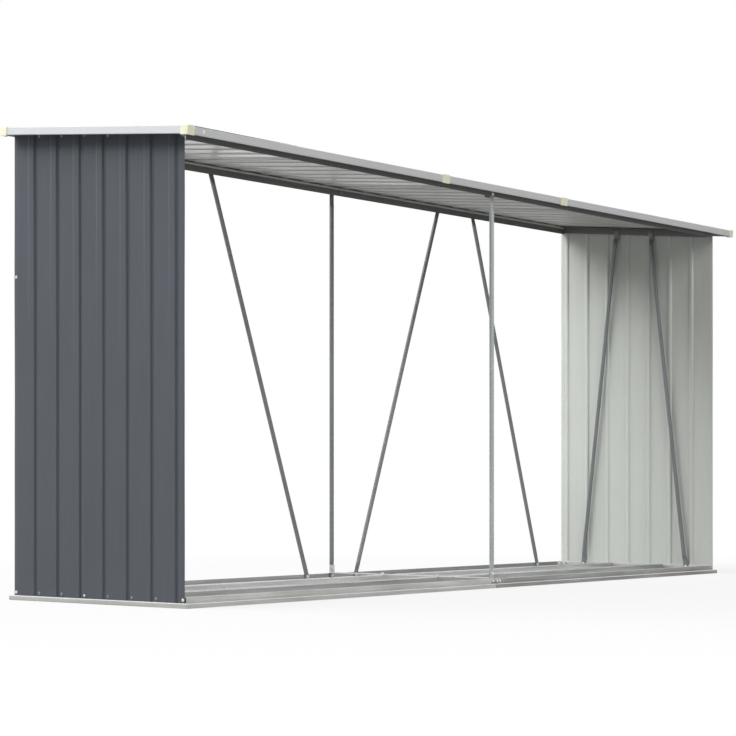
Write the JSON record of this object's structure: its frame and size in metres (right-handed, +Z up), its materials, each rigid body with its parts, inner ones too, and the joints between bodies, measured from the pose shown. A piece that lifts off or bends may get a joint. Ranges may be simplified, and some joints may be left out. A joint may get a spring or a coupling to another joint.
{
  "type": "log store",
  "caption": "Long open-fronted log store: ribbed steel end walls, pent roof with trims and caps, galvanised base rails, centre posts and tube braces; stacks firewood off the ground.",
  "frame": {"origin": "on the ground, in the middle of the store's outline", "axes": "+X along the length to the right, front towards -Y, +Z up"},
  "size_m": [3.3, 0.84, 1.52],
  "materials": {
    "galvanised_steel": "bare galvanised steel, satin, with a faint spangle",
    "wall_sheet": "coil-coated ribbed sheet, anthracite outside and pale grey-green inside",
    "roof_sheet": "coil-coated ribbed sheet, anthracite on top and pale grey below",
    "top_frame": "dark anthracite satin paint",
    "roof_trim": "pale grey coil-coated strip, satin",
    "plastic_cap": "cream moulded plastic"
  },
  "bodies": {
    "root": {"front_base_rail_left": "galvanised_steel", "front_base_rail_right": "galvanised_steel", "back_base_rail_left": "galvanised_steel", "back_base_rail_right": "galvanised_steel", "left_base_rail": "galvanised_steel", "right_base_rail": "galvanised_steel", "front_floor_bar": "galvanised_steel", "rear_floor_bar": "galvanised_steel", "floor_cross_bar": "galvanised_steel", "front_post": "galvanised_steel", "back_post": "galvanised_steel", "left_bay_left_brace": "galvanised_steel", "left_bay_right_brace": "galvanised_steel", "right_bay_left_brace": "galvanised_steel", "right_bay_right_brace": "galvanised_steel", "left_wall_front_brace": "galvanised_steel", "left_wall_back_brace": "galvanised_steel", "right_wall_front_brace": "galvanised_steel", "right_wall_back_brace": "galvanised_steel", "left_wall_front_sheet": "wall_sheet", "left_wall_back_sheet": "wall_sheet", "right_wall_front_sheet": "wall_sheet", "right_wall_back_sheet": "wall_sheet", "roof_sheet_1": "roof_sheet", "roof_sheet_2": "roof_sheet", "roof_sheet_3": "roof_sheet", "roof_sheet_4": "roof_sheet", "front_top_beam_left": "top_frame", "front_top_beam_right": "top_frame", "back_top_beam_left": "top_frame", "back_top_beam_right": "top_frame", "left_top_rail": "top_frame", "right_top_rail": "top_frame", "left_roof_trim": "roof_trim", "right_roof_trim": "roof_trim", "front_roof_trim_left": "roof_trim", "front_roof_trim_middle": "roof_trim", "front_roof_trim_right": "roof_trim", "back_roof_trim_left": "roof_trim", "back_roof_trim_middle": "roof_trim", "back_roof_trim_right": "roof_trim", "corner_caps": "plastic_cap", "joint_caps": "plastic_cap"}
  },
  "joints": []
}
